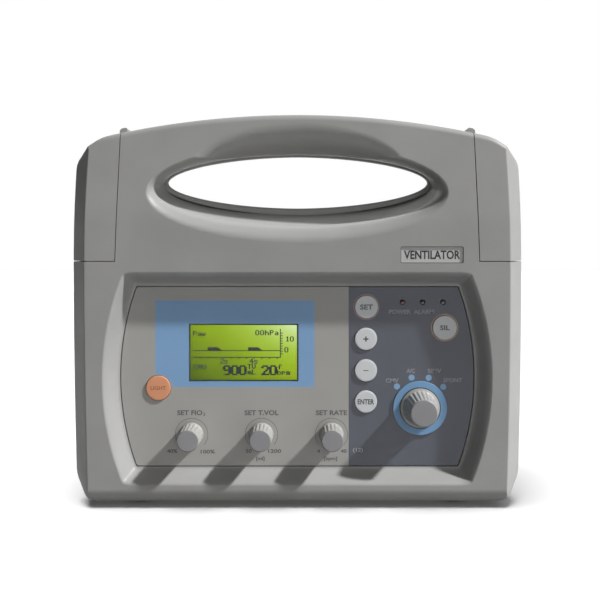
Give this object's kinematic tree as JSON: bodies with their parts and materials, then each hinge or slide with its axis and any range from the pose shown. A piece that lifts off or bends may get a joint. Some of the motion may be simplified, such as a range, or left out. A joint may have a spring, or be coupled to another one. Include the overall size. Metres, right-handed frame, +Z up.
{
  "type": "portable mechanical ventilator",
  "caption": "Portable transport ventilator in a moulded case with a built-in handle, a recessed control panel with display, dials and keys, and gas and power connectors in a rear bay.",
  "frame": {"origin": "on the ground under the middle of the whole object's box", "axes": "+X to the user's right, +Y from the control panel to the back, +Z up"},
  "size_m": [0.297, 0.134, 0.2554],
  "materials": {
    "case_grey": "finely grained moulded plastic",
    "panel_grey": "matte printed film",
    "display_green": "backlit liquid crystal display",
    "clear_window": "clear",
    "ring_blue": "satin moulded",
    "knob_grey": "satin moulded",
    "cap_grey": "matte",
    "key_white": "satin moulded",
    "key_orange": "satin moulded",
    "lamp_red": "clear tinted",
    "rubber_black": "matte",
    "plastic_black": "matte moulded",
    "steel": "bright",
    "brass": "nickel-free turned",
    "aluminium": "satin anodised",
    "board_green": "printed circuit board",
    "battery_blue": "shrink wrap",
    "filter_white": "pleated fleece"
  },
  "bodies": {
    "case": {"air_filter": "filter_white", "alarm_lamp": "lamp_red", "badge_plate": "aluminium", "battery_cover": "case_grey", "battery_lamp": "lamp_red", "battery_pack": "battery_blue", "case_screw_1": "steel", "case_screw_2": "steel", "case_screw_3": "steel", "case_screw_4": "steel", "connector_plate": "aluminium", "control_panel": "panel_grey", "corner_cover_left": "case_grey", "corner_cover_right": "case_grey", "display_board": "board_green", "display_frame": "steel", "display_glass": "display_green", "display_window": "clear_window", "filter_cover": "plastic_black", "foot_front_left": "rubber_black", "foot_front_right": "rubber_black", "foot_rear_left": "rubber_black", "foot_rear_right": "rubber_black", "front_shell": "case_grey", "gas_block": "aluminium", "key_board": "board_green", "main_board": "board_green", "mode_control": "plastic_black", "mode_ring": "ring_blue", "oxygen_control": "plastic_black", "oxygen_hose": "rubber_black", "oxygen_inlet": "brass", "patient_outlet": "aluminium", "power_lamp": "lamp_red", "power_socket": "plastic_black", "pressure_port": "brass", "rate_control": "plastic_black", "rear_shell": "case_grey", "switch_frame": "plastic_black", "volume_control": "plastic_black"},
    "oxygen_dial": {"oxygen_knob": "knob_grey", "oxygen_knob_cap": "cap_grey", "oxygen_shaft": "steel"},
    "volume_dial": {"volume_knob": "knob_grey", "volume_knob_cap": "cap_grey", "volume_shaft": "steel"},
    "rate_dial": {"rate_knob": "knob_grey", "rate_knob_cap": "cap_grey", "rate_shaft": "steel"},
    "mode_dial": {"mode_knob": "knob_grey", "mode_knob_cap": "cap_grey", "mode_shaft": "steel"},
    "light_button": {"light_key": "key_orange"},
    "set_button": {"set_key": "key_white"},
    "plus_button": {"plus_key": "key_white"},
    "minus_button": {"minus_key": "key_white"},
    "enter_button": {"enter_key": "key_white"},
    "silence_button": {"silence_key": "key_white"},
    "power_switch": {"power_rocker": "plastic_black"}
  },
  "joints": [
    {"name": "oxygen_turn", "type": "hinge", "parent": "case", "child": "oxygen_dial", "pos_m": [-0.0696, -0.052, 0.0457], "axis": [0, 1, 0], "range_deg": [-135, 135]},
    {"name": "volume_turn", "type": "hinge", "parent": "case", "child": "volume_dial", "pos_m": [-0.0236, -0.052, 0.0457], "axis": [0, 1, 0], "range_deg": [-135, 135]},
    {"name": "rate_turn", "type": "hinge", "parent": "case", "child": "rate_dial", "pos_m": [0.0224, -0.052, 0.0457], "axis": [0, 1, 0], "range_deg": [-135, 135]},
    {"name": "mode_turn", "type": "hinge", "parent": "case", "child": "mode_dial", "pos_m": [0.0806, -0.052, 0.0632], "axis": [0, 1, 0], "range_deg": [0, 95]},
    {"name": "light_press", "type": "slide", "parent": "case", "child": "light_button", "axis": [0, 1, 0], "range_m": [0, 0.0008], "stiffness_N_per_m": 2500},
    {"name": "set_press", "type": "slide", "parent": "case", "child": "set_button", "axis": [0, 1, 0], "range_m": [0, 0.0008], "stiffness_N_per_m": 2500},
    {"name": "plus_press", "type": "slide", "parent": "case", "child": "plus_button", "axis": [0, 1, 0], "range_m": [0, 0.0008], "stiffness_N_per_m": 2500},
    {"name": "minus_press", "type": "slide", "parent": "case", "child": "minus_button", "axis": [0, 1, 0], "range_m": [0, 0.0008], "stiffness_N_per_m": 2500},
    {"name": "enter_press", "type": "slide", "parent": "case", "child": "enter_button", "axis": [0, 1, 0], "range_m": [0, 0.0008], "stiffness_N_per_m": 2500},
    {"name": "silence_press", "type": "slide", "parent": "case", "child": "silence_button", "axis": [0, 1, 0], "range_m": [0, 0.0008], "stiffness_N_per_m": 2500},
    {"name": "power_tip", "type": "hinge", "parent": "case", "child": "power_switch", "pos_m": [0.034, 0.0376, 0.086], "axis": [1, 0, 0], "range_deg": [0, 18]}
  ]
}
